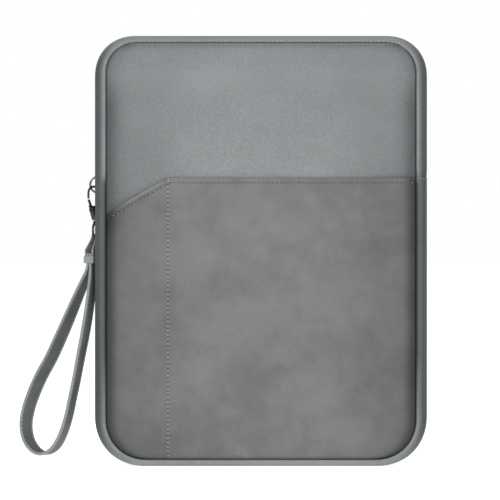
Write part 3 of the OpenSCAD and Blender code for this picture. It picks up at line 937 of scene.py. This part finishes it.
def pocket_face(x, z):
    """How far the pocket's outer face is in front of the middle plane. It lies on the
    panel's puff, sinks along its seams and the hem row, and its mouth stands off."""
    side, end = to_seam(x, z)
    end = np.maximum(z - panel_low, 0)
    lying = depth_half - seam_depth + (panel_rise + 0.0003) * puff(x, z)
    body = (1 - np.exp(-side / 0.0016)) * (1 - np.exp(-end / 0.0016))
    mouth = np.maximum(mouth_at(x) - z, 0)
    hem = np.exp(-((mouth - hem_depth) / 0.0006) ** 2)
    seam = np.exp(-((x - divider_x) / 0.0008) ** 2)
    inside = np.clip(side / 0.016, 0, 1)
    slant = np.exp(-(mouth / 0.0016) ** 2) * (x < divider_x) * inside
    lift = np.exp(-mouth / 0.006) * inside
    return (lying + (leather_thick + 0.0001) * body - 0.0003 * hem * body
            - 0.00045 * seam * body + 0.0003 * lift + 0.0007 * slant)


def pocket_grid():
    """Rows from the bottom seam to the mouth, and columns that crowd where the seams and
    the hem bend the leather."""
    left = divider_x + (-panel_wide - divider_x) * np.sin(np.linspace(1, 0, 40) * np.pi / 2)
    right = divider_x + (panel_wide - divider_x) * np.sin(np.linspace(0, 1, 96) * np.pi / 2)
    near = divider_x + np.array([-1.6, -1.2, -0.8, -0.4, 0.4, 0.8, 1.2, 1.6]) / 1000
    x = np.unique(np.concatenate([left, right, near])) * (1 - 1e-6)
    drop = np.clip((np.abs(x) - panel_wide + radius_under) / radius_under, 0, 1)
    low = panel_low + radius_under * (1 - (1 - drop**squareness) ** (1 / squareness))
    v = np.concatenate([1 - np.cos(np.linspace(0, 0.5, 22) * np.pi / 2),
                        np.linspace(0.3, 0.97, 60)])
    rows = low[None] + v[:, None] * (mouth_at(x) - hem_depth * 1.9 - low)[None]
    close = np.linspace(1.85, 0.12, 22)[:, None] * hem_depth
    rows = np.concatenate([rows, mouth_at(x)[None] - close])
    return np.broadcast_to(x, rows.shape), rows


x, z = pocket_grid()
outer = pocket_face(x, z)
face = np.stack([x, -outer, z], -1)
behind = np.stack([x, -(outer - leather_thick), z], -1)[::-1]
lips = [np.stack([x[-1], back - outer[-1], mouth_at(x[-1]) + up], -1)
        for up, back in ((-0.00012, 0.00008), (0, 0.00035), (0, 0.0008), (-0.0001, 0.00112))]
grid = np.concatenate([face, np.array(lips), behind])
rows, columns = grid.shape[:2]
ends = []
for column, order in ((0, 1), (columns - 1, -1)):
    k = np.arange(rows // 2 - 1)
    quad = np.stack([k, k + 1, rows - 2 - k, rows - 1 - k], -1)[:, ::order]
    ends.append(quad * columns + column)
pocket = skin("pocket_sheet", grid, wrap_rows=True, extra=np.concatenate(ends))

mouth = np.maximum(mouth_at(x) - z, 0)
slanted = np.clip((divider_x - x) / 0.004, 0, 1)
# Painted shade on the pocket: darker towards its seams, a little darker left of the dividing
# seam, and darker where the slanted mouth pinches at the left.
tone = painted_shade_at(x, z, leather_shade_fall, [0.95, 0.75, 0.76, 0.9, 0.95, 0.98, 1])
inner_left = np.exp(-(np.abs(x - divider_x) / 0.012)) * (x < divider_x) * 0.06
pinch = np.exp(-(((x + panel_wide) / 0.011) ** 2 + ((mouth - 0.005) / 0.008) ** 2))
tone = (tone - inner_left) * (1 - 0.5 * pinch)
paint(pocket, "shade", np.concatenate([tone, np.tile(tone[-1:], (4, 1)), tone[::-1]]))
lip = (np.exp(-(mouth / lip_width) ** 2) * np.clip((divider_x - x) / 0.01, 0.15, 1) * slanted
       * np.clip((x + panel_wide) / 0.016, 0, 1))
paint(pocket, "lip", np.concatenate([lip, np.tile(lip[-1:], (4, 1)), lip[::-1]]))


# Rows of stitches on the pocket, each from one (x, z) to another.
slant_run = np.array([divider_x + panel_wide, pocket_top - slant_low])
slant_run = slant_run / np.linalg.norm(slant_run)
inward = np.array([slant_run[1], -slant_run[0]]) * hem_depth
stitch_rows = [
    (np.array([divider_x + 0.0014, pocket_top - hem_depth]),
     np.array([panel_wide - 0.001, pocket_top - hem_depth])),
    (np.array([divider_x, panel_low + 0.0012]), np.array([divider_x, pocket_top - 0.0042])),
    (np.array([-panel_wide + 0.002, slant_low + 0.001]) + inward,
     np.array([divider_x - 0.001, pocket_top - 0.0005]) + inward)]


def nubuck_finish():
    """Brushed synthetic leather: large soft clouds, smaller smudges, a fine nap, a paler
    rolled lip, and dark needle holes at even steps along the sewn rows."""
    made, place, sockets = finish("pocket_nubuck", Roughness=0.8, Specular_IOR_Level=0.2)
    cloud = place.node("TexNoise", Vector=place, Scale=24, Detail=3, Roughness=0.55,
                       Distortion=0.4)
    smudge = place.node("TexNoise", Vector=place, Scale=80, Detail=4, Roughness=0.6)
    nap = place.node("TexNoise", Vector=place, Scale=1300, Detail=3)
    grain = place.node("TexVoronoi", {"feature": "SMOOTH_F1"}, Vector=place, Scale=1500)
    x = place.node("SeparateXYZ", Vector=place)
    z = x.out("Z")
    kept = 1
    for (p, q), dark in zip(stitch_rows, (0.4, 0.65, 0.6)):
        length = math.dist(p, q)
        run = (q - p) / length
        step = length / int(length / pitch)
        along = (x - float(p[0])) * float(run[0]) + (z - float(p[1])) * float(run[1])
        aside = (x - float(p[0])) * float(run[1]) - (z - float(p[1])) * float(run[0])
        beat = (along * (2 * math.pi / step)).math("COSINE").step(0.3, 0.9)
        near = 1 - aside.math("ABSOLUTE").step(0.00025, 0.0006)
        inside = along.step(-0.001, 0) * (1 - along.step(length, length + 0.001))
        kept = kept * (1 - beat * near * inside * dark)
    tone = cloud * 0.52 + smudge * 0.28 + nap * 0.2
    hide = tone.step(0.36, 0.64).between((0.135, 0.136, 0.135, 1), (0.19, 0.191, 0.19, 1))
    lip = place.node("Attribute", {"attribute_name": "lip"}).out("Fac")
    hide = lip.between(hide, (0.29, 0.306, 0.31, 1))
    # The shade attribute is painted shade; with the needle holes it darkens the leather.
    shade = place.node("Attribute", {"attribute_name": "shade"}).out("Fac")
    feed((shade * kept).between((0.012, 0.012, 0.012, 1), hide), sockets["Base Color"])
    feed(0.76 + smudge * 0.16, sockets["Roughness"])
    feed(place.node("Bump", Strength=0.3, Distance=0.0003,
                    Height=grain * 0.5 + nap * 0.5 + smudge * 0.6), sockets["Normal"])
    return made


dress(pocket, nubuck_finish(), "pocket_leather", ["pocket_leather"])
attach(pocket, "case")


# ---------------------------------------------------------------------------------------
# Pocket stitching: a row along the hem, a row down the dividing seam, a row along the
# slanted mouth, and a bartack that locks the top of the seam.
def sewn(points):
    """Places, directions and normals for stitches along a line of (x, z) on the pocket."""
    x, z = points.T
    place = np.stack([x, -pocket_face(x, z), z], -1)
    along = unit(np.gradient(place, axis=0))
    out = np.tile([0.0, -1.0, 0.0], (len(x), 1))
    out = unit(out - (out * along).sum(-1, keepdims=True) * along)
    return place, along, out


def row_between(p, q):
    """The middles of the stitches on a row: half a pitch after each needle hole."""
    count = int(math.dist(p, q) / pitch)
    t = ((np.arange(count) + 0.5) / count)[:, None]
    return p * (1 - t) + q * t


tones = (((0.13, 0.132, 0.132, 1), (0.18, 0.183, 0.182, 1)),
         ((0.3, 0.303, 0.303, 1), (0.44, 0.445, 0.445, 1)),
         ((0.14, 0.142, 0.142, 1), (0.22, 0.223, 0.223, 1)))
for row, (dark, pale), name in zip(stitch_rows, tones, ("hem", "divider", "slant")):
    places, along, out = sewn(row_between(*row))
    threads = stitches(f"pocket_{name}_stitches", places, along, out, 0.0016, 0.00055,
                       0.00026)
    stands_for = ["pocket_stitching"] if name == "divider" else []
    dress(threads, thread_finish(f"{name}_thread", dark, pale), "thread", stands_for, "case")
    if name == "divider":
        divider_thread = threads.data.materials[0]

tack = np.stack([np.full(6, divider_x), pocket_top - 0.0006 - np.arange(6) * 0.00045], -1)
places, along, out = sewn(tack)
across = np.tile([1.0, 0.0, 0.0], (len(tack), 1))
bartack = stitches("pocket_bartack_threads", places, across, out, 0.0014, 0.0004, 0.0003)
dress(bartack, divider_thread, "thread", ["pocket_bartack"], "case")


# ---------------------------------------------------------------------------------------
# Studio: a pale floor that glows a little, and a surround that is white where it is seen
# and dimmer where it lights the case. Soft lights in front and above leave the sides darker.
floor_half = 30
floor_mesh = bpy.data.meshes.new("floor")
floor_mesh.from_pydata([(-floor_half, -floor_half, 0), (floor_half, -floor_half, 0),
                        (floor_half, floor_half, 0), (-floor_half, floor_half, 0)],
                       [], [(0, 1, 2, 3)])
floor = bpy.data.objects.new("floor", floor_mesh)
scene.collection.objects.link(floor)
floor_paint = finish("floor_paint", Roughness=0.9, Base_Color=(0.6, 0.6, 0.6, 1),
                     Emission_Color=(1, 1, 1, 1), Emission_Strength=0.85)[0]
floor_mesh.materials.append(floor_paint)

world = bpy.data.worlds.new("surround")
scene.world = world
world.use_nodes = True
surround = world.node_tree.nodes["Background"].inputs
surround["Color"].default_value = (1, 1, 1, 1)
seen = Value(world.node_tree.nodes.new("ShaderNodeLightPath").outputs["Is Camera Ray"])
feed(seen * 0.6 + 0.4, surround["Strength"])


def soft_light(name, place, aim, size, power):
    """A rectangular lamp at a place, turned towards its aim."""
    lamp = bpy.data.lights.new(name, "AREA")
    lamp.shape = "RECTANGLE"
    lamp.size, lamp.size_y = size
    lamp.energy = power
    holder = bpy.data.objects.new(name, lamp)
    scene.collection.objects.link(holder)
    holder.location = place
    direction = holder.location * 0
    direction.x, direction.y, direction.z = (a - p for a, p in zip(aim, place))
    holder.rotation_euler = direction.to_track_quat("-Z", "Y").to_euler()


middle_high = (0, 0, case_top / 2)
soft_light("front_softbox", (0, -1.9, 0.45), middle_high, (0.7, 1.2), 15.5)
soft_light("top_softbox", (0, -0.45, 1.5), middle_high, (0.9, 0.5), 8)
scene.view_settings.view_transform = "Standard"
